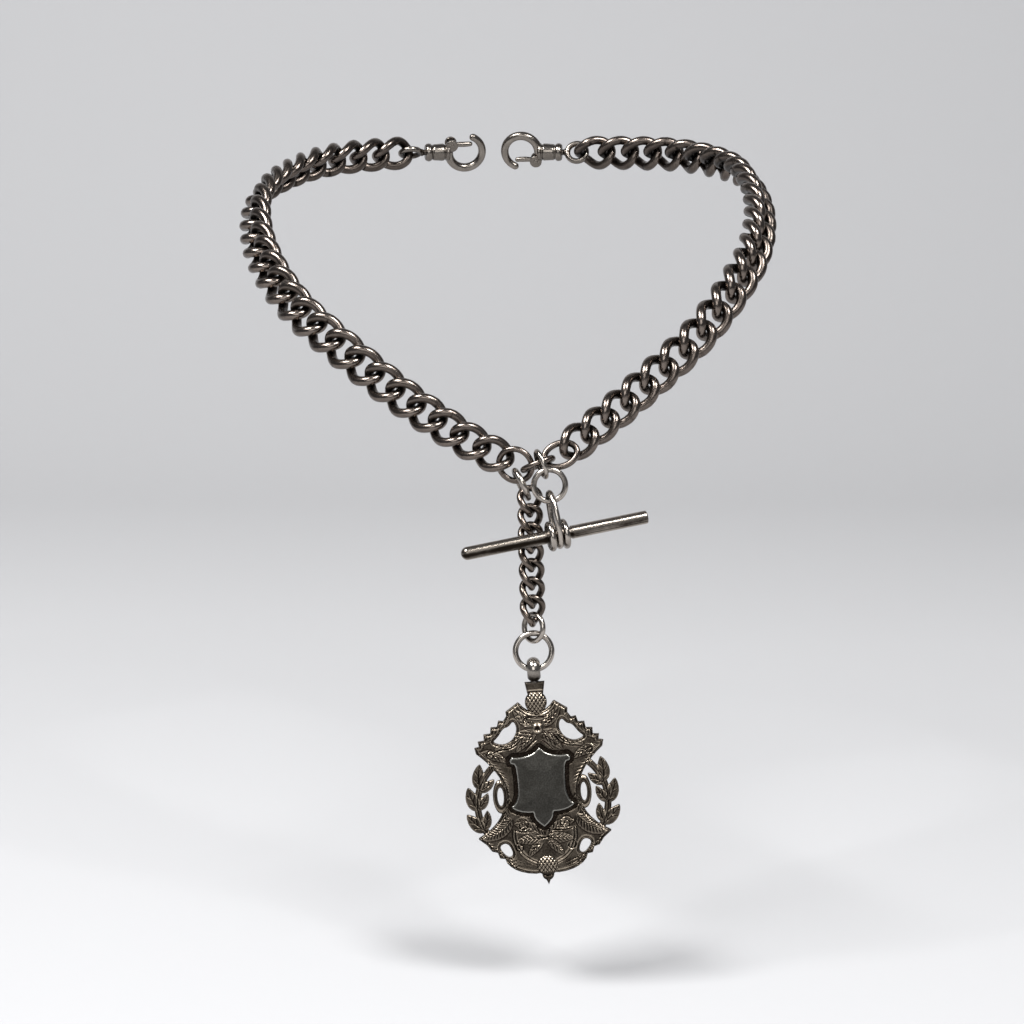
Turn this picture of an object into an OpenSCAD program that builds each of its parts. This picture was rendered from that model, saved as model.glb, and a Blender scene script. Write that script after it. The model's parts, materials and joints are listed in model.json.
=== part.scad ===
// Double Albert pocket watch chain, worn as a necklace: two graduated curb arms meet at a centre link
// that carries a T-bar and a short drop with a pierced shield fob. Each arm ends in a swivel clasp.
// Millimetres, +Z up, the wearer faces -Y. The origin is the centre of the neck loop.

/* [Arm links] */
// Outer length of the smallest arm link
small_link_l = 8.95; // [8.6:0.05:9.2]
// Outer width of the smallest arm link
small_link_w = 7.4; // [7:0.1:7.8]
// Wire diameter of the smallest arm link
small_wire = 1.75; // [1.6:0.05:1.8]
// Outer length of the largest arm link
big_link_l = 11.25; // [10.9:0.05:11.5]
// Outer width of the largest arm link
big_link_w = 9.1; // [8.9:0.1:9.4]
// Wire diameter of the largest arm link
big_wire = 2.3; // [2.1:0.05:2.35]
// Half of the twist between the two ends of a curb link, in degrees
curb_twist = 45; // [40:1:50]
// Play left between two linked wires
link_play = 0.2; // [0.15:0.05:0.3]

/* [Drop] */
// Outer length of a drop link
drop_link_l = 7; // [6.8:0.05:7.1]
// Outer width of a drop link
drop_link_w = 6.2; // [6:0.1:6.4]
// Wire diameter of a drop link
drop_wire = 1.5; // [1.4:0.05:1.55]

/* [T-bar] */
// Length of the bar
bar_l = 40; // [34:1:44]
// Diameter of the bar
bar_d = 2.8; // [2.4:0.1:2.9]
// Slope of the bar to the horizontal, in degrees
bar_slope = 11.4; // [9:0.2:13]
// How far the bar's left end is swung away from the chest, in degrees
bar_swing = 10; // [6:1:12]

/* [Fob] */
// Thickness of the pierced frame
fob_t = 1.3; // [1:0.1:1.6]
// Height of the shield over the frame
shield_t = 0.7; // [0.5:0.1:1]
// Lean of the fob to one side, in degrees
fob_slope = 4; // [2:0.5:6]

/* [Swivels] */
// Radius of the hook's curve, to the middle of its wire
hook_r = 4.1; // [3.9:0.1:4.3]
// Diameter of the hook's wire
hook_wire = 2.1; // [1.9:0.1:2.2]

/* [Hidden] */
$fn = 48;

silver = [0.62, 0.60, 0.57];
dark_silver = [0.42, 0.40, 0.37];

// ---- Curb link: a wire swept round an oval that is twisted about its own length ----

wire_sides = 8;
wire_rings = 20;

function unit(v) = v / norm(v);

// Angle of the oval's plane at parameter t. The twist runs evenly from one end to the other.
function plane_angle(t, twist) = -twist * cos(t);

function wire_centre(t, a, b, twist) =
    let (phi = plane_angle(t, twist))
    [a * cos(t), b * sin(t) * cos(phi), b * sin(t) * sin(phi)];

function wire_ring(t, a, b, r, twist) =
    let (
        c = wire_centre(t, a, b, twist),
        along = unit(wire_centre(t + 1, a, b, twist) - wire_centre(t - 1, a, b, twist)),
        phi = plane_angle(t, twist),
        face = [0, -sin(phi), cos(phi)],
        up = unit(face - (face * along) * along),
        side = cross(along, up)
    )
    [for (k = [0 : wire_sides - 1]) let (a = 360 * k / wire_sides) c + r * (cos(a) * up + sin(a) * side)];

// A closed wire link, its length along X and its width along Y
module wire_link(l, w, wire, twist) {
    points = [
        for (i = [0 : wire_rings - 1])
            each wire_ring(360 * i / wire_rings, (l - wire) / 2, (w - wire) / 2, wire / 2, twist)
    ];
    faces = [
        for (i = [0 : wire_rings - 1], k = [0 : wire_sides - 1])
            let (i2 = (i + 1) % wire_rings, k2 = (k + 1) % wire_sides)
            each [
                [i * wire_sides + k, i2 * wire_sides + k2, i * wire_sides + k2],
                [i * wire_sides + k, i2 * wire_sides + k, i2 * wire_sides + k2]
            ]
    ];
    polyhedron(points, faces);
}

// ---- Placing: a frame is [origin, x axis, y axis, z axis] ----

module place(f) {
    multmatrix([
        [f[1][0], f[2][0], f[3][0], f[0][0]],
        [f[1][1], f[2][1], f[3][1], f[0][1]],
        [f[1][2], f[2][2], f[3][2], f[0][2]]
    ]) children();
}

// ---- Route of each arm, from its end link round to the nape ----

left_route = [
    [2.2, -60.2, -26.7], [-8.5, -56, -22], [-22.5, -48, -14], [-37, -38, -4], [-45.5, -29, 2],
    [-52, -17, 8.5], [-56, -2, 15], [-56.5, 15, 20.9], [-51.8, 31.5, 24.2],
    [-41.9, 46.8, 26.4], [-25, 58, 27], [-4, 62, 27], [15, 62, 27]
];
right_route = [
    [11.4, -59.7, -24.4], [20, -55.5, -18.5], [32, -47.5, -9.5], [41, -41, -2], [48.5, -32, 6],
    [54, -20, 13], [56.5, -3, 19.5], [55.5, 15, 24.5], [51.5, 32, 26.5], [40, 48, 27.5], [20, 59, 27],
    [-2, 62, 27], [-22, 60, 27]
];
route_steps = 10;

// A smooth curve through the route's points
function spline_at(p, i, u) =
    let (
        last = len(p) - 1,
        a = p[max(i - 1, 0)],
        b = p[i],
        c = p[min(i + 1, last)],
        d = p[min(i + 2, last)]
    )
    0.5 * (2 * b + (c - a) * u + (2 * a - 5 * b + 4 * c - d) * u * u + (3 * b - a - 3 * c + d) * u * u * u);

function smooth_route(p) = [
    for (i = [0 : len(p) - 2], k = [0 : route_steps - 1]) spline_at(p, i, k / route_steps)
];

function lengths(p, i = 1, done = [0]) =
    i == len(p) ? done : lengths(p, i + 1, concat(done, done[i - 1] + norm(p[i] - p[i - 1])));

left_path = smooth_route(left_route);
left_lengths = lengths(left_path);
right_path = smooth_route(right_route);
right_lengths = lengths(right_path);

function path_of(side) = side < 0 ? left_path : right_path;
function lengths_of(side) = side < 0 ? left_lengths : right_lengths;

// The point that lies s along an arm
function route_point(side, s) = [for (axis = [0 : 2]) lookup(s, [
    for (i = [0 : len(path_of(side)) - 1]) [lengths_of(side)[i], path_of(side)[i][axis]]
])];

// The flat of the chain faces out from the neck, and more upwards on the shoulders than in front
front_face_tilt = 16;
shoulder_face_tilt = 24;

function outward(p) =
    let (h = unit([p[0], p[1], 0]), tilt = front_face_tilt + shoulder_face_tilt * h[0] * h[0])
    [h[0] * cos(tilt), h[1] * cos(tilt), sin(tilt)];

tangent_reach = 2;

function arm_frame(side, s) =
    let (
        p = route_point(side, s),
        x = unit(route_point(side, s + tangent_reach) - route_point(side, max(s - tangent_reach, 0))),
        out = outward(p),
        z = unit(out - (out * x) * x)
    )
    [p, x, cross(z, x), z];

// ---- Graduation of the arms: link 0 is the end link at the centre ----

arm_pairs = 14;
arm_links = 27;

function swell(i) = pow(sin(180 * (i + 1) / (arm_links + 8)), 0.65);
function graded(i, small, big) = small + (big - small) * swell(i);
function link_l(i) = graded(i, small_link_l, big_link_l);
function link_w(i) = graded(i, small_link_w, big_link_w);
function link_wire(i) = graded(i, small_wire, big_wire);

// Distance between the middles of links i and i + 1
function pitch(i) =
    (link_l(i) + link_l(i + 1)) / 2 - link_wire(i) - link_wire(i + 1) - link_play;

// The end links lie across their arms by different amounts, so the first step differs too
function first_step(side) = side < 0 ? 5.7 : 4.7;
function link_s(side, i) = i == 0 ? 0 : i == 1 ? first_step(side) : link_s(side, i - 1) + pitch(i - 1);

module arm_link(side, i) {
    color(silver)
        place(arm_frame(side, link_s(side, i)))
        wire_link(link_l(i), link_w(i), link_wire(i), curb_twist);
}

// Two links side by side in a node. The last node of an arm has only one.
module link_pair(side, n) {
    arm_link(side, 2 * n - 1);
    if (2 * n <= arm_links) arm_link(side, 2 * n);
}

// ---- Hanging plane: where the drop and the T-bar lie, in front of the chest ----

chest_lean = 12;
hang_origin = [6, -60, -26];
hang_up = [0, sin(chest_lean), cos(chest_lean)];
hang_out = [0, -cos(chest_lean), sin(chest_lean)];

// A frame in the hanging plane at [right, up, out], turned by roll about its own out axis
// and then by turn about its own length
function hang_frame(at, roll = 0, turn = 0) =
    let (
        x = cos(roll) * [1, 0, 0] + sin(roll) * hang_up,
        y0 = -sin(roll) * [1, 0, 0] + cos(roll) * hang_up,
        y = cos(turn) * y0 + sin(turn) * hang_out
    )
    [hang_origin + at[0] * [1, 0, 0] + at[1] * hang_up + at[2] * hang_out, x, y, cross(x, y)];

module torus(r, wire) {
    rotate_extrude() translate([r, 0]) circle(d = wire);
}

// ---- Centre: the link between the two arms, and each arm's own end link ----

module centre_link() {
    color(silver) place(hang_frame([0.6, -0.45, -0.15], 22, 84)) wire_link(7.9, 5.8, 1.4, 0);
}

module left_end_link() {
    color(silver) place(hang_frame([-4.08, -0.63, -0.5], 141, -19)) wire_link(8.5, 8, 1.3, 0);
}

module right_end_link() {
    color(silver) place(hang_frame([5.34, 1.5, -0.27], 20, -19)) wire_link(8.5, 6.5, 1.4, 0);
}

// ---- T-bar and the rings that carry it ----

module bar_oval_ring() {
    color(silver) place(hang_frame([1.25, -0.5, 3.2], -70, 79)) wire_link(6.7, 6.3, 1, 0);
}

module bar_round_ring() {
    color(silver) place(hang_frame([3, -4.9, 3.1], 5, 6)) torus(3.28, 1.25);
}

bar_at = [4.7, -15.2, 3.1];
stirrup_rise = 3.3;
stirrup_wire = 1.25;
collar_w = 1.35;
collar_r = 3.2;
collar_step = 1.5;
neck_from = 2.3;
neck_w = 0.6;
neck_cut = 0.2;

// X along the bar, Y up and Z out
function bar_axes() =
    let (f = hang_frame(bar_at, bar_slope))
    [
        f[0],
        cos(bar_swing) * f[1] - sin(bar_swing) * f[3],
        f[2],
        sin(bar_swing) * f[1] + cos(bar_swing) * f[3]
    ];

// An oval link hangs from the round ring and encloses the bar between its two collars
module bar_stirrup() {
    color(silver) place(bar_axes()) translate([0, stirrup_rise, 0]) rotate([0, 90, 0]) rotate([0, 0, 90])
        wire_link(12.6, 8, stirrup_wire, 0);
}

// Domed at its left end, flat at its right, with a narrow turned neck beside the right collar
module t_bar() {
    straight = bar_l - bar_d / 2;
    color(silver) place(bar_axes()) rotate([0, 90, 0]) {
        translate([0, 0, -straight / 2]) {
            sphere(d = bar_d);
            cylinder(h = straight / 2 + neck_from, d = bar_d);
        }
        translate([0, 0, neck_from - 0.1]) cylinder(h = neck_w + 0.2, d = bar_d - 2 * neck_cut);
        translate([0, 0, neck_from + neck_w]) cylinder(h = straight / 2 - neck_from - neck_w, d = bar_d);
    }
}

module bar_collars() {
    color(silver) place(bar_axes()) for (side = [-1, 1])
        translate([side * collar_step, 0, 0]) rotate([0, 90, 0]) rotate_extrude() {
            translate([bar_d / 2, -collar_w / 2]) square([collar_r - collar_w / 2 - bar_d / 2, collar_w]);
            translate([collar_r - collar_w / 2, 0]) circle(d = collar_w);
        }
}

// ---- Drop: a large ring, graduated curb links and a small ring ----

drop_links = 7;
drop_pitch = drop_link_l - 2 * drop_wire - link_play;
drop_top = [-1.1, -8.2, 0.1];
drop_drift = 0.1;
drop_turn = -40;

function drop_at(k) = drop_top + (k - 1) * [drop_drift, -drop_pitch, 0];

module drop_ring() {
    color(silver) place(hang_frame([-2.83, -4.64, -0.15], -64, 85)) torus(3.2, 1.3);
}

module drop_link(k) {
    color(silver) place(hang_frame(drop_at(k), -90, drop_turn))
        wire_link(drop_link_l, drop_link_w, drop_wire, curb_twist);
}

end_ring_step = [0.2, -3.5, 0];
end_ring_at = drop_at(drop_links) + end_ring_step;

module drop_end_ring() {
    color(silver) place(hang_frame(end_ring_at, -90, 47)) torus(2.8, 1.2);
}

// ---- Fob: its own axes are right, up and out, with the origin at the middle of the wreath ----

fob_at = [1.35, -66.75, 0.1];
bail_up = 23.6;
bail_r = 2.6;
bail_bore_r = 1.45;
jump_ring_r = 3.78;
jump_ring_wire = 1.25;

function fob_frame_axes() = hang_frame(fob_at, fob_slope);
bail_at = fob_at + bail_up * [-sin(fob_slope), cos(fob_slope), 0];

module fob_jump_ring() {
    color(silver) place(hang_frame(bail_at + [0, jump_ring_r, 0], 0, 0))
        torus(jump_ring_r, jump_ring_wire);
}

// A broad domed ring, soldered to the neck of the frame
module fob_bail() {
    color(silver) place(fob_frame_axes()) translate([0, bail_up, 0]) rotate([0, 90, 0])
        rotate_extrude() intersection() {
            translate([bail_r - 1.5, 0]) circle(r = 1.5);
            translate([bail_bore_r, -2]) square([2, 4]);
        }
}

// A pointed oval, its length along X
module leaf(l, w) {
    r = (l * l + w * w) / (4 * w);
    intersection() {
        translate([0, r - w / 2]) circle(r = r);
        translate([0, w / 2 - r]) circle(r = r);
    }
}

// A whole outline from its right half, which starts and ends on the middle line
function whole(half) = concat(half, [for (i = [len(half) - 2 : -1 : 1]) [-half[i][0], half[i][1]]]);

// The right half of the plate: foot, lower corner, hollow side, upper corner, shoulder leaf and crown
plate_half = [
    [0, -18.9], [3.6, -18.9], [6.2, -17.9], [8.3, -16.3], [9.4, -14.8], [11.4, -13.2], [13.9, -10.9],
    [10.4, -8.2], [8.2, -5.2], [7.5, -2.2], [8.1, 0.5], [9.9, 3.7], [13.2, 6.8], [12.9, 8.6],
    [11.2, 9.9], [10.4, 11.3], [8.9, 12.2], [8.2, 13.5], [6.5, 14.1], [6.4, 15.2], [3.7, 17],
    [2.6, 15.8], [1.3, 15.1], [0, 14.8]
];
shoulder_hole = [[5, 13.2], [4.5, 11.6], [5.2, 9.8], [6.9, 8.6], [9.4, 9.1], [8, 10], [7, 11.8]];
foot_hole = [[8, -12.4], [9.6, -12.8], [7.6, -15.2], [6.8, -14.6]];
shield_half = [
    [0, 7.3], [2, 6.1], [5.3, 5.3], [6.2, 5.3], [6.2, 4.2], [5.2, 3.6], [4.8, 0], [5.1, -2.6],
    [6.4, -4.7], [4.2, -5.7], [1.9, -6], [1.7, -7.5], [0, -9.1]
];
eye_hole_at = [8.7, -2.4];
eye_hole_size = [1.6, 3.5];

// Laurel spray beside the plate: a stem bent on a circle, with leaves set along it
stem_centre = [3, -4.2];
stem_r = 10.6;
stem_w = 1.7;
stem_ends = [-36, 50];
outer_leaves = [-29, -4, 20];
outer_leaf_turn = 74;
outer_leaf_size = [5.6, 2.8];
inner_leaves = [-27, -3, 18];
inner_leaf_turn = 128;
inner_leaf_size = [4.4, 2];

// A leaf whose stalk is on the stem at angle a
module spray_leaf(a, turn, size) {
    rotate(a) translate([stem_r, 0]) rotate(turn)
        translate([size[0] / 2 - 0.5, 0]) leaf(size[0], size[1]);
}

module side_spray() {
    translate(stem_centre) {
        intersection() {
            difference() {
                circle(r = stem_r + stem_w / 2);
                circle(r = stem_r - stem_w / 2);
            }
            polygon([[0, 0], for (a = [stem_ends[0] : 2 : stem_ends[1]]) 15 * [cos(a), sin(a)]]);
        }
        for (a = outer_leaves) spray_leaf(a, outer_leaf_turn, outer_leaf_size);
        for (a = inner_leaves) spray_leaf(a, inner_leaf_turn, inner_leaf_size);
    }
}

module eye(size) {
    translate(eye_hole_at) scale([size[0] * eye_hole_size[0], size[1] * eye_hole_size[1]]) circle(r = 1);
}

module frame_openings() {
    polygon(shoulder_hole);
    polygon(foot_hole);
    eye([0.4, 0.55]);
}

// The frame is flat and pierced. Hatched balls finish it at the top, under the neck, and at the foot.
module frame_outline() {
    polygon(whole(plate_half));
    for (side = [0, 1]) mirror([side, 0]) {
        side_spray();
        eye([1, 1]);
    }
    translate([0, 16.8]) circle(r = 2.3);
    polygon([[-1, 14], [-2.1, 21.1], [2.1, 21.1], [1, 14]]);
    translate([0, -17.4]) circle(r = 2.1);
    translate([0, -19.1]) circle(r = 1.25);
    polygon([[-0.9, -19.6], [0, -21.3], [0.9, -19.6]]);
}

module fob_frame() {
    color(dark_silver) place(fob_frame_axes()) translate([0, 0, -fob_t / 2]) linear_extrude(fob_t)
        difference() {
            frame_outline();
            for (side = [0, 1]) mirror([side, 0]) frame_openings();
        }
}

module fob_shield() {
    color(dark_silver) place(fob_frame_axes()) translate([0, 0, fob_t / 2])
        linear_extrude(shield_t) polygon(whole(shield_half));
}

// ---- Swivel clasps. The eye's middle is the origin and X runs along the arm ----

eye_r = 2.3;
eye_wire = 1.4;
shank_r = 0.65;
shank_head_r = 1.2;
barrel_r = 2.2;
barrel_from = 3.6;
barrel_to = 9.6;
head_from = 7.2;
head_to = 8.2;
shank_play = 0.08;
hook_x = barrel_to - 0.2 + hook_r;
hook_end = -66;
gate_hinge = [9.95, -2.05, 0];
gate_w = 1.3;
gate_l = 4.6;
gate_bore_r = 0.45;
gate_pin_r = 0.4;
lug_r = 1.5;
lug_h = 3;
slot_h = 1.6;

function eye_s(side) =
    link_s(side, arm_links) + (link_l(arm_links) - link_wire(arm_links)) / 2 + eye_r
    - (link_wire(arm_links) + eye_wire) / 2 - link_play;

// The whole clasp lies straight, between two points of the route
function swivel_axes(side) =
    let (
        p = route_point(side, eye_s(side)),
        x = unit(route_point(side, eye_s(side) + 18) - p),
        out = outward(p + 9 * x),
        z = unit(out - (out * x) * x)
    )
    [p, x, cross(z, x), z];

module swivel_eye(side) {
    color(silver) place(swivel_axes(side)) rotate([45, 0, 0]) {
        torus(eye_r, eye_wire);
        rotate([0, 90, 0]) {
            translate([0, 0, eye_r + 0.3]) cylinder(h = head_from - eye_r, r = shank_r);
            translate([0, 0, head_from]) cylinder(h = head_to - head_from, r = shank_head_r);
        }
    }
}

module swivel_body(side) {
    color(silver) place(swivel_axes(side)) difference() {
        union() {
            translate([barrel_from, 0, 0]) rotate([0, 90, 0])
                cylinder(h = barrel_to - barrel_from, r = barrel_r);
            translate([hook_x, 0, 0]) {
                rotate([0, 0, hook_end]) rotate_extrude(angle = 180 - hook_end) translate([hook_r, 0])
                    circle(d = hook_wire);
                rotate([0, 0, hook_end]) translate([hook_r, 0, 0]) sphere(d = hook_wire);
            }
            translate(gate_hinge) cylinder(h = lug_h, r = lug_r, center = true);
        }
        rotate([0, 90, 0]) {
            cylinder(h = head_to, r = shank_r + shank_play);
            translate([0, 0, head_from - 0.2])
                cylinder(h = head_to - head_from + 0.4, r = shank_head_r + 0.1);
        }
        translate([8.8, -4, -slot_h / 2]) cube([4, 3, slot_h]);
        translate(gate_hinge) cylinder(h = lug_h + 1, r = gate_pin_r, center = true);
    }
}

module swivel_gate(side) {
    color(silver) place(swivel_axes(side)) translate(gate_hinge) difference() {
        union() {
            cylinder(h = gate_w, r = 1, center = true);
            rotate([0, 90, 0]) cylinder(h = gate_l, d = gate_w);
            translate([gate_l, 0, 0]) sphere(d = gate_w);
        }
        cylinder(h = gate_w + 1, r = gate_bore_r, center = true);
    }
}

module gate_pin(side) {
    color(silver) place(swivel_axes(side)) translate(gate_hinge)
        cylinder(h = lug_h, r = gate_pin_r, center = true);
}

// A leaf in the slot, behind the gate's knuckle
module gate_spring(side) {
    color(dark_silver) place(swivel_axes(side)) translate([8.82, -2.7, -0.5]) cube([0.08, 1.6, 1]);
}

function arm_node(prefix, n) = str(prefix, n < 10 ? "0" : "", n);

centre_link();
left_end_link();
right_end_link();
bar_oval_ring();
bar_round_ring();
bar_stirrup();
t_bar();
bar_collars();
drop_ring();
for (k = [1 : drop_links]) {
    drop_link(k);
}
drop_end_ring();
fob_jump_ring();
fob_bail();
fob_frame();
fob_shield();
for (n = [1 : arm_pairs]) {
    link_pair(-1, n);
    link_pair(1, n);
}
for (arm = [["left_", -1], ["right_", 1]]) {
    swivel_eye(arm[1]);
    swivel_body(arm[1]);
    swivel_gate(arm[1]);
    gate_pin(arm[1]);
    gate_spring(arm[1]);
}
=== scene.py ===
import json
import math

import bpy
import numpy as np
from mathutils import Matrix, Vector


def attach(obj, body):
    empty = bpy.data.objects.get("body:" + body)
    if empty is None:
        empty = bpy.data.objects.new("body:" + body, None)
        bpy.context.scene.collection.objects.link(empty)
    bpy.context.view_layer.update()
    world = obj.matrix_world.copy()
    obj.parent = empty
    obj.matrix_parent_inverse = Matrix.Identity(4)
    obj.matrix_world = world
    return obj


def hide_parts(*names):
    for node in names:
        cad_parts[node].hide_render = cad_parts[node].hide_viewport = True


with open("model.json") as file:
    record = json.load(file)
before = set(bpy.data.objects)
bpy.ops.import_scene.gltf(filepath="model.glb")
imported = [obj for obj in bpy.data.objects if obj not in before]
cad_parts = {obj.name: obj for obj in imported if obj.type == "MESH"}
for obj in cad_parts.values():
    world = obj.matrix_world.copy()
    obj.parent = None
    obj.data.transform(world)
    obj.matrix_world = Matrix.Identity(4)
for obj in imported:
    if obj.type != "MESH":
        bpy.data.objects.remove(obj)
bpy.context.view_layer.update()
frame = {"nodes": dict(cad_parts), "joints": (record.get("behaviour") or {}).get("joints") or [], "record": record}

MM = 0.001
NODES = frame["nodes"]
JOINTS = {j["name"]: j for j in frame["joints"]}
BODY_OF = {n: b for b, members in frame["record"]["behaviour"]["bodies"].items() for n in members}
RANDOM = np.random.default_rng(7)

# ---- Small helpers: vectors, frames and meshes. Lengths are in millimetres until a mesh is made ----


def unit(v):
    v = np.asarray(v, float)
    return v / np.linalg.norm(v)


def smooth_step(x, low, high):
    t = np.clip((x - low) / (high - low), 0, 1)
    return t * t * (3 - 2 * t)


def place(points, axes):
    """Takes local points to the row frame. axes is (origin, x, y, z)."""
    origin, x, y, z = axes
    return origin + points @ np.array([x, y, z])


def node_points(node):
    mesh = NODES[node].data
    points = np.empty(len(mesh.vertices) * 3, np.float32)
    mesh.vertices.foreach_get("co", points)
    return points.reshape(-1, 3).astype(float) / MM


def loose_parts(node):
    """The vertices of each separate solid of a CAD node."""
    mesh = NODES[node].data
    points = node_points(node)
    keys, same = np.unique(np.round(points, 3), axis=0, return_inverse=True)
    same = same.reshape(-1)
    parent = np.arange(len(keys))

    def root(i):
        while parent[i] != i:
            parent[i] = parent[parent[i]]
            i = parent[i]
        return i

    for edge in mesh.edges:
        a, b = root(same[edge.vertices[0]]), root(same[edge.vertices[1]])
        parent[a] = b
    roots = np.array([root(i) for i in range(len(keys))])
    return [keys[roots == r] for r in np.unique(roots)]


def link_axes(points):
    """The axes of a link from its own solid, X along it, Y across it and Z out, and its size along each."""
    centre = (points.max(0) + points.min(0)) / 2
    for _ in range(2):
        _, _, axes = np.linalg.svd(points - centre, full_matrices=False)
        local = (points - centre) @ axes.T
        centre = centre + ((local.max(0) + local.min(0)) / 2) @ axes
    x, z = axes[0], axes[2]
    outward = np.array([centre[0], centre[1], 20.0])
    if z @ outward < 0:
        z = -z
    size = np.ptp((points - centre) @ np.array([x, np.cross(z, x), z]).T, axis=0)
    return (centre, x, np.cross(z, x), z), size


# Painted shade: surfaces that face down are darkened, as if in shade
UNDERSIDE_PAINTED_SHADE = 0.3


class Shell:
    """Gathers vertices, faces and each vertex's tarnish with painted shade. A value of 0 is bright and 1 is black.
    """

    def __init__(self):
        self.points, self.faces, self.tarnish, self.count = [], [], [], 0

    def add(self, points, faces, tarnish):
        self.points.append(np.asarray(points, float))
        self.faces += [tuple(int(i) + self.count for i in f) for f in faces]
        self.tarnish.append(np.broadcast_to(np.asarray(tarnish, float), (len(points),)))
        self.count += len(points)

    def make(self, name, nodes, material, flat_angle=40):
        mesh = bpy.data.meshes.new(name)
        mesh.from_pydata((np.concatenate(self.points) * MM).tolist(), [], self.faces)
        normals = np.empty(3 * self.count, np.float32)
        mesh.vertices.foreach_get("normal", normals)
        # Painted shade: every piece is darkened where its surface faces down
        underside = np.clip(-normals[2::3], 0, 1)
        tarnish = np.concatenate(self.tarnish) + UNDERSIDE_PAINTED_SHADE * underside
        values = mesh.attributes.new("tarnish", "FLOAT", "POINT")
        values.data.foreach_set("value", tarnish.astype(np.float32))
        mesh.materials.append(material)
        mesh.polygons.foreach_set("use_smooth", [True] * len(mesh.polygons))
        mesh.set_sharp_from_angle(angle=math.radians(flat_angle))
        mesh.validate()
        piece = bpy.data.objects.new(name, mesh)
        bpy.context.scene.collection.objects.link(piece)
        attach(piece, BODY_OF[nodes[0]])
        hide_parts(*nodes)
        return piece


def tube_faces(rings, sides, closed):
    """Quads between neighbouring rings of a tube."""
    i, k = np.meshgrid(np.arange(rings if closed else rings - 1), np.arange(sides), indexing="ij")
    i2, k2 = (i + 1) % rings, (k + 1) % sides
    quads = np.stack([i * sides + k, i * sides + k2, i2 * sides + k2, i2 * sides + k], -1)
    return quads.reshape(-1, 4).tolist()


# ---- Links and rings: a wire swept round an oval that is twisted about its own length ----

LINK_RINGS = 64
LINK_SIDES = 20
CURB_TWIST = math.radians(45)
SEAM_SWELL = 0.05


def oval(t, a, b, twist):
    """A point on the wire's centre line, and the direction that the oval faces there."""
    phi = -twist * np.cos(t)
    centre = np.stack([a * np.cos(t), b * np.sin(t) * np.cos(phi), b * np.sin(t) * np.sin(phi)], -1)
    face = np.stack([0 * t, -np.sin(phi), np.cos(phi)], -1)
    return centre, face


def add_link(shell, axes, length, width, wire, twist, seam=0.5, waviness=0.012):
    """A closed link of round wire. seam says where its solder joint is, as a share of the way round."""
    t = np.arange(LINK_RINGS) * 2 * np.pi / LINK_RINGS
    a, b = (length - wire) / 2, (width - wire) / 2
    centre, face = oval(t, a, b, twist)
    ahead, _ = oval(t + 0.01, a, b, twist)
    behind, _ = oval(t - 0.01, a, b, twist)
    along = (ahead - behind) / np.linalg.norm(ahead - behind, axis=1, keepdims=True)
    up = face - (face * along).sum(1, keepdims=True) * along
    up /= np.linalg.norm(up, axis=1, keepdims=True)
    side = np.cross(along, up)
    k = np.arange(LINK_SIDES) * 2 * np.pi / LINK_SIDES
    spoke = np.cos(k)[None, :, None] * up[:, None] + np.sin(k)[None, :, None] * side[:, None]

    from_seam = np.abs((t / (2 * np.pi) - seam + 0.5) % 1 - 0.5) * 2 * np.pi * (a + b) / 2
    swell = SEAM_SWELL * np.exp(-(((from_seam - 0.35) / 0.3) ** 2))
    swell = swell - 0.03 * np.exp(-((from_seam / 0.12) ** 2))
    phase = RANDOM.uniform(0, 6.28, 4)
    wave = sum(np.sin(n * t + phase[n - 2]) for n in (2, 3, 5)) * waviness / 2
    radius = wire / 2 * (0.975 + swell[:, None] * 0.6) + wave[:, None] * np.cos(k + phase[3])[None, :]

    points = centre[:, None] + radius[..., None] * spoke
    # Painted shade: darker on the inner side of the wire, most near the ends where links meet, and on the back of
    # the link; tarnish also gathers there. The solder seam is darker as a real joint.
    inward = -(spoke * (centre / np.linalg.norm(centre, axis=1, keepdims=True))[:, None]).sum(-1)
    near_end = np.abs(np.cos(t))[:, None] ** 3
    back = np.clip(-spoke[..., 2], 0, 1)
    tarnish = 0.26 + 0.34 * np.clip(inward, -0.6, 1) * (0.55 + 0.75 * near_end) + 0.22 * back
    tarnish = tarnish + 0.3 * np.exp(-((from_seam / 0.16) ** 2))[:, None]
    faces = tube_faces(LINK_RINGS, LINK_SIDES, True)
    shell.add(place(points.reshape(-1, 3), axes), faces, tarnish.reshape(-1))


# ---- Turned shapes: a profile of (along, radius) pairs, spun about the local X axis ----

TURNED_SIDES = 64


def add_turned(shell, axes, profile, tarnish=0.3, sides=TURNED_SIDES, ring=False):
    """A turned solid, closed at both ends on its axis, or a ring whose profile is itself closed."""
    profile = np.asarray(profile, float)
    k = np.arange(sides) * 2 * np.pi / sides
    x = np.repeat(profile[:, 0], sides)
    r = np.repeat(profile[:, 1], sides)
    turn = np.tile(k, len(profile))
    points = np.stack([x, r * np.cos(turn), r * np.sin(turn)], -1)
    faces = tube_faces(len(profile), sides, ring)
    values = np.broadcast_to(np.asarray(tarnish, float), (len(profile),)).repeat(sides)
    if not ring:
        last = len(points) - sides
        faces += [list(range(sides))[::-1], [last + i for i in range(sides)]]
    if signed_area(profile) > 0 and ring:
        faces = [f[::-1] for f in faces]
    shell.add(place(points, axes), faces, values)


def signed_area(outline):
    x, y = outline[:, 0], outline[:, 1]
    return float(np.sum(x * np.roll(y, -1) - np.roll(x, -1) * y)) / 2


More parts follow.
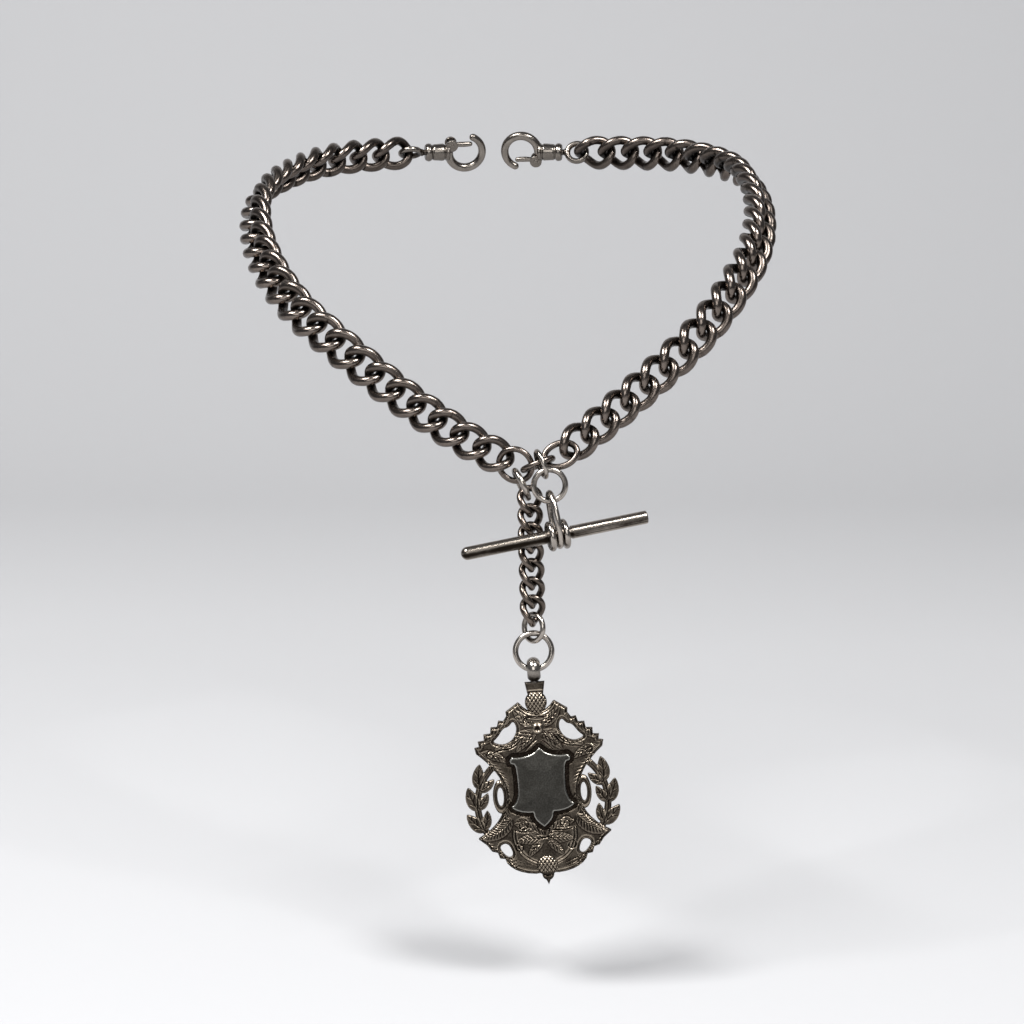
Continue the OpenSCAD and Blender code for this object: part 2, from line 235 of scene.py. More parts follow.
def rounded(profile, radius, steps=5):
    """The same profile with each inner corner rounded off."""
    profile = [np.asarray(p, float) for p in profile]
    out = [profile[0]]
    for before, corner, after in zip(profile, profile[1:], profile[2:]):
        reach = min(radius, np.linalg.norm(before - corner) / 2, np.linalg.norm(after - corner) / 2)
        start = corner + unit(before - corner) * reach
        end = corner + unit(after - corner) * reach
        for u in np.linspace(0, 1, steps):
            out.append((1 - u) ** 2 * start + 2 * u * (1 - u) * corner + u**2 * end)
    return np.array(out + [profile[-1]])


# ---- Silver ----


def silver(name, bright, dark, worn, gloss, scratches=1.0, mottle=0.45):
    """Old silver: bright where it is rubbed or carries a painted highlight, brown-black where the tarnish value
    (real tarnish and painted shade) is high.
    """
    material = bpy.data.materials.new(name)
    material.use_nodes = True
    nodes, links = material.node_tree.nodes, material.node_tree.links
    shader = nodes["Principled BSDF"]
    shader.inputs["Metallic"].default_value = 1.0

    def node(kind, **inputs):
        made = nodes.new(kind)
        for key, value in inputs.items():
            made.inputs[key.replace("_", " ")].default_value = value
        return made

    def maths(operation, a, b):
        made = nodes.new("ShaderNodeMath")
        made.operation = operation
        for socket, value in zip(made.inputs, (a, b)):
            if isinstance(value, (int, float)):
                socket.default_value = value
            else:
                links.new(value, socket)
        return made.outputs[0]

    where = nodes.new("ShaderNodeTexCoord").outputs["Object"]
    tarnish = nodes.new("ShaderNodeAttribute")
    tarnish.attribute_name = "tarnish"

    patches = node("ShaderNodeTexNoise", Scale=420.0, Detail=5.0, Roughness=0.6)
    specks = node("ShaderNodeTexNoise", Scale=3200.0, Detail=3.0, Roughness=0.7)
    rubs = node("ShaderNodeTexNoise", Scale=900.0, Detail=6.0, Roughness=0.75, Distortion=1.5)
    for texture in (patches, specks, rubs):
        links.new(where, texture.inputs["Vector"])

    mottled = maths("MULTIPLY", maths("SUBTRACT", patches.outputs["Fac"], 0.5), mottle)
    speckled = maths("MULTIPLY", maths("SUBTRACT", specks.outputs["Fac"], 0.5), 0.3)
    level = maths("ADD", maths("ADD", tarnish.outputs["Fac"], mottled), maths("ADD", speckled, worn))
    ramp = nodes.new("ShaderNodeValToRGB")
    ramp.color_ramp.interpolation = "EASE"
    ramp.color_ramp.elements[0].position = 0.12
    ramp.color_ramp.elements[0].color = (*bright, 1)
    ramp.color_ramp.elements[1].position = 0.95
    ramp.color_ramp.elements[1].color = (*dark, 1)
    middle = ramp.color_ramp.elements.new(0.5)
    middle.color = (*[b * 0.55 + d * 0.45 for b, d in zip(bright, dark)], 1)
    links.new(level, ramp.inputs["Fac"])
    links.new(ramp.outputs["Color"], shader.inputs["Base Color"])

    rough = maths("ADD", maths("MULTIPLY", level, 0.24), maths("MULTIPLY", rubs.outputs["Fac"], 0.1))
    links.new(maths("ADD", rough, gloss), shader.inputs["Roughness"])

    bump = nodes.new("ShaderNodeBump")
    bump.inputs["Strength"].default_value = 0.35 * scratches
    bump.inputs["Distance"].default_value = 0.00006
    pits = maths("MULTIPLY", specks.outputs["Fac"], 0.5)
    links.new(maths("ADD", rubs.outputs["Fac"], pits), bump.inputs["Height"])
    links.new(bump.outputs["Normal"], shader.inputs["Normal"])
    return material


CURB = silver("curb_silver", (0.18, 0.15, 0.13), (0.010, 0.007, 0.005), 0.08, 0.11)
DROP = silver("drop_silver", (0.17, 0.14, 0.118), (0.010, 0.007, 0.005), 0.1, 0.11)
RING = silver("ring_silver", (0.42, 0.38, 0.34), (0.018, 0.013, 0.010), 0.04, 0.09)
BAR = silver("bar_silver", (0.34, 0.30, 0.26), (0.014, 0.010, 0.007), 0.02, 0.09)
ENGRAVED = silver("engraved_silver", (0.38, 0.32, 0.25), (0.011, 0.008, 0.006), 0.06, 0.09, 1.0, 0.3)
SHIELD = silver("shield_silver", (0.36, 0.35, 0.32), (0.034, 0.032, 0.028), 0.02, 0.12, 0.3, 0.16)
CLASP = silver("clasp_silver", (0.28, 0.25, 0.22), (0.014, 0.010, 0.008), 0.06, 0.09)
SPRING = silver("spring_steel", (0.45, 0.45, 0.47), (0.08, 0.08, 0.085), 0.1, 0.2)

# ---- The two arms, the drop and the rings: each link is laid on its own CAD solid ----

SMALL_LINK = (8.95, 1.75)
BIG_LINK = (11.25, 2.3)
DROP_WIRE = 1.47
PLAIN_WIRES = {
    "centre_link": 1.4,
    "left_end_link": 1.3,
    "right_end_link": 1.4,
    "bar_oval_ring": 1.0,
    "bar_round_ring": 1.25,
    "bar_stirrup": 1.25,
    "drop_ring": 1.3,
    "drop_end_ring": 1.2,
    "fob_jump_ring": 1.25,
}


def arm_wire(length):
    """Longer links have thicker wire."""
    share = (length - SMALL_LINK[0]) / (BIG_LINK[0] - SMALL_LINK[0])
    return SMALL_LINK[1] + share * (BIG_LINK[1] - SMALL_LINK[1])


def build_arm(side):
    for node in sorted(n for n in NODES if n.startswith(side + "_links_")):
        shell = Shell()
        for points in loose_parts(node):
            axes, size = link_axes(points)
            seam = RANDOM.choice([0.22, 0.28, 0.72, 0.78])
            add_link(shell, axes, size[0], size[1], arm_wire(size[0]), CURB_TWIST, seam)
        shell.make("chain_" + node, [node], CURB)


def build_drop_links():
    for node in sorted(n for n in NODES if n.startswith("drop_link_")):
        axes, size = link_axes(node_points(node))
        shell = Shell()
        add_link(shell, axes, size[0], size[1], DROP_WIRE, CURB_TWIST, RANDOM.choice([0.24, 0.76]))
        shell.make("chain_" + node, [node], DROP)


def build_plain_rings():
    for node, wire in PLAIN_WIRES.items():
        axes, size = link_axes(node_points(node))
        shell = Shell()
        add_link(shell, axes, size[0], size[1], wire, 0, RANDOM.uniform(0.1, 0.9))
        slot, material = ("curb_silver", CURB) if node.endswith("_link") else ("ring_silver", RING)
        shell.make("wire_" + node, [node], material)


# ---- T-bar and its collars ----

BAR_HALF = 19.3
BAR_R = 1.4
COLLAR_R = 3.2
COLLAR_W = 1.35
COLLAR_STEP = 1.5
NECK_FROM = 2.3
NECK_R = 1.2
OUT = unit([0, -math.cos(math.radians(12)), math.sin(math.radians(12))])


def bar_axes():
    spin = JOINTS["bar_spin"]
    x = unit(spin["axis"])
    z = unit(OUT - (OUT @ x) * x)
    return np.array(spin["pos_m"]) / MM, x, np.cross(z, x), z


def build_bar():
    """A drawn bar with a domed left end and a flat right end, and a fine seam along its right half."""
    turns = np.radians(np.arange(88, 0, -8))
    left = [(-BAR_HALF - BAR_R * math.sin(a), BAR_R * math.cos(a)) for a in turns]
    body = [(x, BAR_R) for x in np.linspace(-BAR_HALF, NECK_FROM, 50)]
    body += [(NECK_FROM + 0.05, NECK_R), (NECK_FROM + 0.55, NECK_R)]
    body += [(x, BAR_R) for x in np.linspace(NECK_FROM + 0.6, BAR_HALF - 0.25, 40)]
    right = [(BAR_HALF - 0.08, BAR_R - 0.07), (BAR_HALF, BAR_R - 0.22), (BAR_HALF, 0.75)]
    right += [(BAR_HALF - 0.12, 0.6), (BAR_HALF - 0.12, 0.02)]
    profile = np.array(left + body + right)
    shell = Shell()
    # Darker on the left half, with small changes along the bar, and painted shade on the bar beside the collars
    tone_and_collar_shade = 0.36 - 0.26 * smooth_step(profile[:, 0], -4, 3) + 0.08 * np.sin(profile[:, 0] * 0.5)
    tone_and_collar_shade = tone_and_collar_shade + 0.35 * np.exp(-(((np.abs(profile[:, 0]) - 2.6) / 0.5) ** 2))
    add_turned(shell, bar_axes(), profile, tone_and_collar_shade, sides=96)
    points = shell.points[0]
    origin, x, y, z = bar_axes()
    along = (points - origin) @ x
    turn = np.arctan2((points - origin) @ y, (points - origin) @ z)
    groove = 0.09 * np.exp(-(((turn + 0.75) * BAR_R / 0.09) ** 2)) * smooth_step(along, 3, 4)
    spoke = points - origin - along[:, None] * x
    spoke /= np.linalg.norm(spoke, axis=1, keepdims=True)
    shell.points[0] = points - groove[:, None] * spoke
    # Painted shade on the front of the bar between two painted highlights, and a painted reflection along its
    # lower edge
    front = 0.6 * np.exp(-(((spoke[:, 2] + 0.1) / 0.4) ** 2)) * (spoke @ OUT > 0)
    painted_lower_reflection = 0.5 * smooth_step(-spoke[:, 2], 0.6, 0.85)
    shell.tarnish[0] = shell.tarnish[0] + groove * 7 + front - painted_lower_reflection
    shell.make("t_bar_rod", ["t_bar"], BAR)


def build_collars():
    """Two domed rings, one each side of the stirrup."""
    shell = Shell()
    r = COLLAR_W / 2
    turns = np.radians(np.linspace(180, 0, 15))
    dome = [(r * math.cos(a), COLLAR_R - r + r * math.sin(a)) for a in turns]
    profile = np.array([(-r, BAR_R - 0.05), (-r, 2.0), *dome, (r, 2.0), (r, BAR_R - 0.05)])
    tarnish = 0.16 + 0.55 * smooth_step(-profile[:, 1], -COLLAR_R + 0.5, -BAR_R - 0.2)
    for side in (-1, 1):
        add_turned(shell, bar_axes(), profile + [side * COLLAR_STEP, 0], tarnish, ring=True)
    shell.make("t_bar_collars", ["bar_collars"], RING)


# ---- Fob: a pierced and engraved plate. Its own axes are right, up and out, in millimetres ----

CHEST_LEAN = math.radians(12)
HANG_ORIGIN = np.array([6.0, -60.0, -26.0])
HANG_UP = np.array([0, math.sin(CHEST_LEAN), math.cos(CHEST_LEAN)])
FOB_AT = (1.35, -66.75, 0.1)
FOB_SLOPE = math.radians(4)
FOB_HALF_T = 0.65
GRID = 0.11


def fob_axes():
    right = np.array([1.0, 0, 0])
    origin = HANG_ORIGIN + FOB_AT[0] * right + FOB_AT[1] * HANG_UP + FOB_AT[2] * OUT
    x = math.cos(FOB_SLOPE) * right + math.sin(FOB_SLOPE) * HANG_UP
    y = -math.sin(FOB_SLOPE) * right + math.cos(FOB_SLOPE) * HANG_UP
    return origin, x, y, OUT


def segment_parts(x, y, a, b):
    """Where each grid point lies beside a segment: share of the way along, distance, side and length."""
    d = np.subtract(b, a)
    length = math.hypot(*d)
    u = np.clip(((x - a[0]) * d[0] + (y - a[1]) * d[1]) / length**2, 0, 1)
    px, py = x - a[0] - u * d[0], y - a[1] - u * d[1]
    away = np.hypot(px, py)
    side = np.sign(d[0] * py - d[1] * px)
    return u, away, side, length


def polygon_distance(x, y, corners):
    """Signed distance to a closed outline, below zero inside."""
    away = np.full(x.shape, 1e9)
    inside = np.zeros(x.shape, bool)
    for a, b in zip(corners, corners[1:] + corners[:1]):
        _, d, _, _ = segment_parts(x, y, a, b)
        away = np.minimum(away, d)
        if a[1] != b[1]:
            crosses = (y < a[1]) != (y < b[1])
            inside ^= crosses & (x < a[0] + (y - a[1]) * (b[0] - a[0]) / (b[1] - a[1]))
    return np.where(inside, -away, away)


def bend(start, middle, end, steps=10):
    """Points along a curve that starts towards middle and ends at end."""
    u = np.linspace(0, 1, steps)[:, None]
    start, middle, end = map(np.asarray, (start, middle, end))
    return [tuple(p) for p in (1 - u) ** 2 * start + 2 * u * (1 - u) * middle + u**2 * end]


def along_curve(x, y, curve):
    """Share of the way along a curve, signed distance to its left, and the curve's length."""
    best = np.full(x.shape, 1e9)
    share, left = np.zeros(x.shape), np.zeros(x.shape)
    lengths = [math.dist(a, b) for a, b in zip(curve, curve[1:])]
    done, total = 0.0, sum(lengths)
    for a, b, length in zip(curve, curve[1:], lengths):
        u, away, side, _ = segment_parts(x, y, a, b)
        nearer = away < best
        best = np.where(nearer, away, best)
        share = np.where(nearer, (done + u * length) / total, share)
        left = np.where(nearer, side * away, left)
        done += length
    return share, left, total


def mirrored(points):
    return [(-px, py) for px, py in points]


class Relief:
    """A plate's outline and surface on a grid, with how dark each point is and how bright it is from rubbing and
    painted highlights.
    """

    def __init__(self, low, high, step):
        self.low, self.step = low, step
        self.xs = np.arange(low[0], high[0], step)
        self.ys = np.arange(low[1], high[1], step)
        self.x, self.y = np.meshgrid(self.xs, self.ys, indexing="ij")
        self.outline = np.full(self.x.shape, 9.0)
        self.height = np.zeros(self.x.shape)
        self.dark = np.zeros(self.x.shape)
        self.rub_and_highlight = np.zeros(self.x.shape)

    def window(self, curve, margin):
        """The part of the grid that lies near a curve."""
        points = np.array(curve)
        first = np.floor((points.min(0) - margin - self.low) / self.step).astype(int).clip(0)
        last = np.ceil((points.max(0) + margin - self.low) / self.step).astype(int).clip(0)
        return slice(first[0], last[0]), slice(first[1], last[1])

    def add(self, distance, lift=0.0, soft=0.35):
        """Joins a shape to the outline and raises it, with a rounded edge."""
        self.outline = np.minimum(self.outline, distance)
        self.height = np.maximum(self.height, lift * smooth_step(-distance, 0, soft))

    def pierce(self, distance):
        self.outline = np.maximum(self.outline, -distance)

    def line(self, distance, width, depth, where=True):
        """A cut line along the places where distance is zero, with a raised edge beside it that is lightened as
        rubbed silver and as a painted highlight.
        """
        groove = np.exp(-((distance / width) ** 2)) * where
        edge = np.exp(-(((distance - 2.2 * width) / width) ** 2)) * where
        self.height = self.height - depth * groove + 0.3 * depth * edge
        self.dark = np.maximum(self.dark, 0.5 * groove)
        self.rub_and_highlight = np.maximum(self.rub_and_highlight, 0.8 * edge)

    def stroke(self, curve, width=0.1, depth=0.14, rub_and_highlight=1.0):
        """One cut of the graver: thin at both ends, with a raised burr along one side that is lightened as rubbed
        silver and as a painted highlight.
        """
        at = self.window(curve, 5 * width)
        share, left, _ = along_curve(self.x[at], self.y[at], curve)
        swell = np.sin(math.pi * np.clip(share, 0, 1) ** 0.7) ** 0.5
        reach = width * (0.15 + swell)
        groove = np.exp(-((left / reach) ** 2)) * (swell > 0.02)
        burr = np.exp(-(((left - 1.7 * reach) / (0.7 * reach)) ** 2)) * swell
        self.height[at] += 0.6 * depth * burr - depth * groove
        self.dark[at] = np.maximum(self.dark[at], 0.8 * groove)
        self.rub_and_highlight[at] = np.maximum(self.rub_and_highlight[at], rub_and_highlight * burr)

    def blade(self, curve, width, lift, notches=0, solid=False):
        """The raised blade of a leaf along a curve, with saw teeth if it has notches."""
        at = self.window(curve, width)
        share, left, _ = along_curve(self.x[at], self.y[at], curve)
        half = width / 2 * np.sin(math.pi * np.clip(share, 0.02, 1) ** 0.75) ** 0.7
        if notches:
            half = half * (1 - 0.3 * ((share * notches) % 1))
        distance = np.where((share <= 0) | (share >= 1), 0.9, np.abs(left) - half)
        across = np.clip(np.abs(left) / np.maximum(half, 0.05), 0, 1)
        raised = self.height[at] + lift * (1 - across**2) ** 0.5
        self.height[at] = np.where(distance < 0, raised, self.height[at])
        # Painted highlight along the blade's rim; the ground just outside the edge is darker
        rim = np.exp(-(((distance + 0.12) / 0.13) ** 2))
        self.rub_and_highlight[at] = np.maximum(self.rub_and_highlight[at], 0.3 * rim)
        if solid:
            self.outline[at] = np.minimum(self.outline[at], distance)
        else:
            self.dark[at] = np.maximum(self.dark[at], 0.5 * np.exp(-(((distance - 0.12) / 0.13) ** 2)))

    def veins(self, curve, width, count, lean=38, rub_and_highlight=1.0):
        """A midrib with curved cuts on both sides of it."""
        self.stroke(curve, 0.09, 0.14, rub_and_highlight)
        points = np.array(curve)
        for sign in (-1, 1):
            for n in range(count):
                share = (n + 0.4 + 0.2 * sign) / count
                i = min(int(share * (len(points) - 1)), len(points) - 2)
                along = unit(points[i + 1] - points[i])
                across = np.array([-along[1], along[0]]) * sign
                past = share * (len(points) - 1) - i
                start = points[i] + past * (points[i + 1] - points[i]) + 0.12 * across
                reach = width / 2 * math.sin(math.pi * min(share + 0.12, 1) ** 0.75) ** 0.7 * 0.95
                if reach > 0.25:
                    slant = math.radians(lean)
                    tip = start + reach * (across + along / math.tan(slant))
                    middle = start + reach * 0.6 * (across * 0.4 + along / math.tan(slant))
                    self.stroke(bend(start, middle, tip, 5), 0.085, 0.12, rub_and_highlight)


def smoothed(outline, rounds=2):
    """A closed outline with its corners cut, more smoothly each round."""
    for _ in range(rounds):
        pairs = [(np.array(a), np.array(b)) for a, b in zip(outline, outline[1:] + outline[:1])]
        outline = [tuple((1 - u) * a + u * b) for a, b in pairs for u in (0.25, 0.75)]
    return outline


def full_outline(half):
    """A closed outline from its right half, with repeated corners left out."""
    corners = half + mirrored(half)[::-1]
    return [c for c, before in zip(corners, corners[-1:] + corners[:-1]) if math.dist(c, before) > 1e-6]


def ring_arc(centre, radius, start, end, steps=14):
    turns = np.radians(np.linspace(start, end, steps))
    return [(centre[0] + radius * math.cos(a), centre[1] + radius * math.sin(a)) for a in turns]


def spiral(centre, radius, start, turns, steps=26):
    """A curve that winds in towards its centre."""
    shares = np.linspace(0, 1, steps)
    angles = np.radians(start) + 2 * math.pi * turns * shares
    reach = radius * (1 - 0.85 * shares)
    return [(centre[0] + r * math.cos(a), centre[1] + r * math.sin(a)) for r, a in zip(reach, angles)]


# The plate's right half, from its foot up to the crown, as seen from the front
PLATE_HALF = [
    (0, -18.7), *bend((2.4, -18.9), (6.6, -18.6), (8.3, -16.3), 6), (8.6, -15.4), (9.7, -15.2),
    (10.1, -14.0), (11.2, -13.7), (12.2, -12.3), (13.9, -10.9),
    *bend((13.7, -10.6), (8.2, -8.0), (7.5, -2.2)),
    *bend((7.5, -2.2), (7.9, 2.4), (13.2, 6.8)), (13.5, 8.1), (12.5, 8.3), (12.7, 9.4), (11.4, 9.5),
    (11.4, 10.8), (10.0, 10.9), (9.8, 12.2), (8.5, 12.2), (8.1, 13.5), (7.1, 13.3), (6.4, 14.3),
    (6.5, 15.2), (3.8, 17.0), *bend((3.5, 16.8), (2.2, 14.9), (0, 14.7), 5),
]
SHOULDER_HOLE = smoothed([
    (5.0, 13.3), (4.3, 11.5), (5.2, 9.4), (7.2, 8.3), (9.7, 9.0), (8.4, 10.0), (7.2, 11.8), (6.0, 12.0),
])
FOOT_HOLE = smoothed([(7.9, -11.9), (9.9, -12.8), (7.9, -15.3), (6.7, -14.5)])
SHIELD_HALF = [
    (0, 7.3), *bend((0.5, 6.9), (1.6, 5.6), (4.6, 5.5), 6), (5.7, 5.6), (6.3, 5.1), (6.1, 4.4),
    (5.4, 4.2), *bend((5.1, 3.6), (4.7, 0), (5.0, -2.2), 5),
    *bend((5.2, -2.9), (5.6, -4.2), (6.5, -4.6), 4), *bend((6.2, -5.0), (4.6, -6.1), (2.1, -6.0), 5),
    *bend((2.0, -6.3), (2.1, -7.6), (0, -9.1), 5),
]
STEM_CENTRE, STEM_R = (3.0, -4.2), 10.6
OUTER_LEAVES = [(-29, 74), (-4, 74), (20, 74)]
INNER_LEAVES = [(-27, 128), (-3, 128), (18, 128)]
SHOULDER_LEAF = bend((5.9, 13.9), (10.2, 12.3), (13.2, 7.4), 9)
WING = bend((6.9, -7.0), (9.0, -10.2), (13.5, -10.9), 9)
# Raised leaves on the plate: curve, width, cuts on each side and how bright their cuts are, as rubbed silver and
# painted highlight
CHASED_LEAVES = [
    (bend((1.1, 10.9), (4.6, 9.4), (9.4, 7.4), 8), 2.5, 7, 0.9),
    (bend((1.0, 12.0), (2.8, 12.9), (4.9, 15.6), 7), 2.0, 5, 1.0),
    (bend((0.6, 10.1), (2.6, 9.2), (4.9, 6.6), 7), 1.7, 5, 0.7),
    (bend((12.2, 6.9), (9.0, 6.6), (6.9, 4.6), 6), 1.9, 5, 0.6),
    (bend((0.3, -11.2), (2.8, -8.7), (6.3, -8.2), 8), 2.4, 7, 0.8),
    (bend((0.4, -11.6), (3.0, -11.4), (6.0, -11.9), 8), 2.2, 6, 0.9),
    (bend((0.6, -12.4), (2.2, -13.0), (3.7, -15.3), 6), 1.6, 4, 1.0),
]
# Scrolls and single cuts between the leaves
FREE_CUTS = [
    spiral((10.2, 6.3), 1.1, 160, -1.5),
    spiral((4.5, -8.6), 1.5, 30, 1.6),
    spiral((5.3, -13.2), 1.1, 80, -1.3),
    spiral((2.4, 13.1), 0.8, 200, 1.2),
    ring_arc((7.2, 11.2), 3.4, 200, 285),
    ring_arc((7.2, 11.2), 3.9, 205, 270),
    ring_arc((0, -8.4), 3.0, 250, 290),
    bend((1.8, -9.8), (4.4, -10.4), (6.9, -9.4), 7),
    bend((0.4, 9.0), (1.6, 8.4), (3.0, 6.7), 6),
    bend((6.6, 7.4), (8.2, 7.4), (9.4, 6.7), 6),
    bend((0.2, 13.9), (1.4, 13.5), (2.8, 13.9), 6),
]


def stem_point(angle):
    turn = math.radians(angle)
    return STEM_CENTRE[0] + STEM_R * math.cos(turn), STEM_CENTRE[1] + STEM_R * math.sin(turn)


def spray_leaf(angle, turn, length):
    """The midrib of a leaf that leaves the stem at one angle and bows a little towards it."""
    start = np.array(stem_point(angle))
    heading = math.radians(angle + turn)
    along = np.array([math.cos(heading), math.sin(heading)])
    across = np.array([math.sin(heading), -math.cos(heading)])
    bow = 0.5 if turn < 90 else -0.5
    return bend(start, start + length * 0.5 * along + bow * across, start + length * along, 7)


def add_spray(r, flip):
    """The laurel beside the plate: a stem with a row of leaves on each side."""
    stem = flip([stem_point(a) for a in range(-37, 52, 4)])
    _, left, _ = along_curve(r.x, r.y, stem)
    r.add(np.abs(left) - 0.72, 0.12)
    for rows, length, width in ((OUTER_LEAVES, 5.2, 2.7), (INNER_LEAVES, 4.0, 2.0)):
        for angle, turn in rows:
            leaf = flip(spray_leaf(angle, turn, length))
            r.blade(leaf, width, 0.16, solid=True)
            r.veins(leaf, width * 0.75, 3, rub_and_highlight=0.5)
    r.stroke(stem, 0.1, 0.12, 0.7)


def add_chasing(r, flip):
    """The chased leaves, scrolls and gouges of one side of the plate."""
    for curve, width, cuts, vein_rub_and_highlight in CHASED_LEAVES:
        r.blade(flip(curve), width, 0.12)
        r.veins(flip(curve), width, cuts, rub_and_highlight=vein_rub_and_highlight)
    for curve in FREE_CUTS:
        r.stroke(flip(curve), 0.12, 0.15, 0.9)
    r.veins(flip(bend((12.0, 5.6), (7.4, 2.2), (6.95, -2.2), 12)), 2.0, 10, lean=30)
    r.veins(flip(bend((6.95, -2.2), (7.2, -5.4), (8.6, -7.6), 8)), 1.6, 6, lean=30, rub_and_highlight=0.7)
    r.blade(flip(WING), 3.0, 0.16)
    r.veins(flip(WING), 2.9, 11, lean=52, rub_and_highlight=0.9)
    for offset in (0, 0.7, -0.7):
        leaf = bend((12.6, -11.9 + offset), (9.6, -15.9 + offset), (3.4, -17.7 + offset), 10)
        r.veins(flip(leaf), 1.1, 12, lean=30, rub_and_highlight=0.6)


def add_hatched_ball(r, centre, radius, cut_above):
    ball = np.hypot(r.x - centre[0], r.y - centre[1])
    r.add(ball - radius)
    dome = 0.8 * np.sqrt(np.clip(1 - (ball / radius) ** 2, 0, 1))
    r.height = np.where(ball < radius, dome, r.height)
    for layer in (r.dark, r.rub_and_highlight):
        layer[ball < radius] = 0
    r.rub_and_highlight = np.where((ball < radius - 0.1) & (r.y > cut_above), 0.85, r.rub_and_highlight)
    for slope in (1, -1):
        line = (0.8 * r.x + slope * 0.6 * r.y) / 0.66
        ridge = np.abs(line % 1 - 0.5) * 0.66
        cut = np.exp(-((ridge / 0.11) ** 2)) * (ball < radius - 0.1) * (r.y > cut_above)
        r.height = r.height - 0.12 * cut
        r.dark = np.maximum(r.dark, cut)


def fob_relief():
    r = Relief((-17.4, -21.6), (17.4, 21.6), GRID)
    x, y = r.x, r.y
    plate = polygon_distance(x, y, full_outline(PLATE_HALF))
    shield = polygon_distance(x, y, full_outline(SHIELD_HALF))
    sides = (list, mirrored)
    for flip in sides:
        add_spray(r, flip)
    r.add(plate, 0.3, 0.3)
    for flip in sides:
        r.blade(flip(SHOULDER_LEAF), 3.6, 0.12, notches=6)
        r.veins(flip(SHOULDER_LEAF), 3.2, 9, lean=42, rub_and_highlight=0.7)
    for sign in (-1, 1):
        eye_x, eye_y = (x - sign * 8.7) / 1.6, (y + 2.4) / 3.5
        r.add((np.hypot(eye_x, eye_y) - 1) * 1.5, 0.2)
        r.pierce((np.hypot(eye_x / 0.4, eye_y / 0.55) - 1) * 0.6)
        r.line((np.hypot(eye_x, eye_y) - 0.72) * 1.5, 0.1, 0.1, np.abs(x) > 7.6)

    r.line(-plate - 0.42, 0.1, 0.14, plate < 0)
    for hole in (SHOULDER_HOLE, FOOT_HOLE):
        for flip in sides:
            opening = polygon_distance(x, y, flip(hole))
            r.line(opening - 0.45, 0.1, 0.12, plate < -0.2)
            r.pierce(opening)
    crown = np.hypot(x, y - 18.2)
    for radius in (4.0, 4.5, 5.3):
        r.line(radius - crown, 0.1, 0.14, (y > 12.4) & (plate < -0.2) & (np.abs(x) < 5.4))
    rim = np.hypot(x, y + 10.6)
    for radius in (6.7, 6.1):
        r.line(radius - rim, 0.11, 0.15, (y < -9.6) & (plate < -0.2) & (rim < 7.2))
    for flip in sides:
        add_chasing(r, flip)

    # Painted highlight on the daisy's raised ring, with a dark centre
    daisy = np.hypot(x + 0.1, y - 11.3)
    r.height = np.where(daisy < 1.25, 0.34 + 0.3 * np.exp(-(((daisy - 0.75) / 0.28) ** 2)), r.height)
    r.dark = np.where(daisy < 1.25, 0.9 * np.exp(-((daisy / 0.42) ** 2)), r.dark)
    r.rub_and_highlight = np.where(daisy < 1.25, 1.1 * np.exp(-(((daisy - 0.78) / 0.2) ** 2)), r.rub_and_highlight)

    sunk = (shield < 0.9) & (plate < -0.8)
    grain = np.sin(12 * x + 3 * np.sin(7.3 * y)) * np.sin(11.3 * y + 3 * np.sin(6.9 * x))
    r.height = np.where(sunk, 0.12 + 0.07 * grain, r.height)
    r.dark = np.where(sunk, 0.75 - 0.3 * (grain > 0.35), r.dark)
    r.rub_and_highlight = np.where(sunk, 0.12 * (grain > 0.4), r.rub_and_highlight)

    add_hatched_ball(r, (0, 16.8), 2.3, 14)
    r.add(np.hypot(x - 0.1, y + 19.1) - 1.25, 0.3)
    add_hatched_ball(r, (0.1, -17.3), 2.15, -18.6)
    neck_left = [(-1.6, 18.3), (-1.85, 19.6), (-2.1, 21.1)]
    neck = polygon_distance(x, y, neck_left + [(-px, py) for px, py in neck_left[::-1]])
    r.add(neck, 0.3)
    r.line(y - 18.95, 0.14, 0.16, neck < 0)
    r.add(polygon_distance(x, y, [(-0.75, -19.4), (0.1, -21.3), (0.9, -19.4)]), 0.25)
    return r


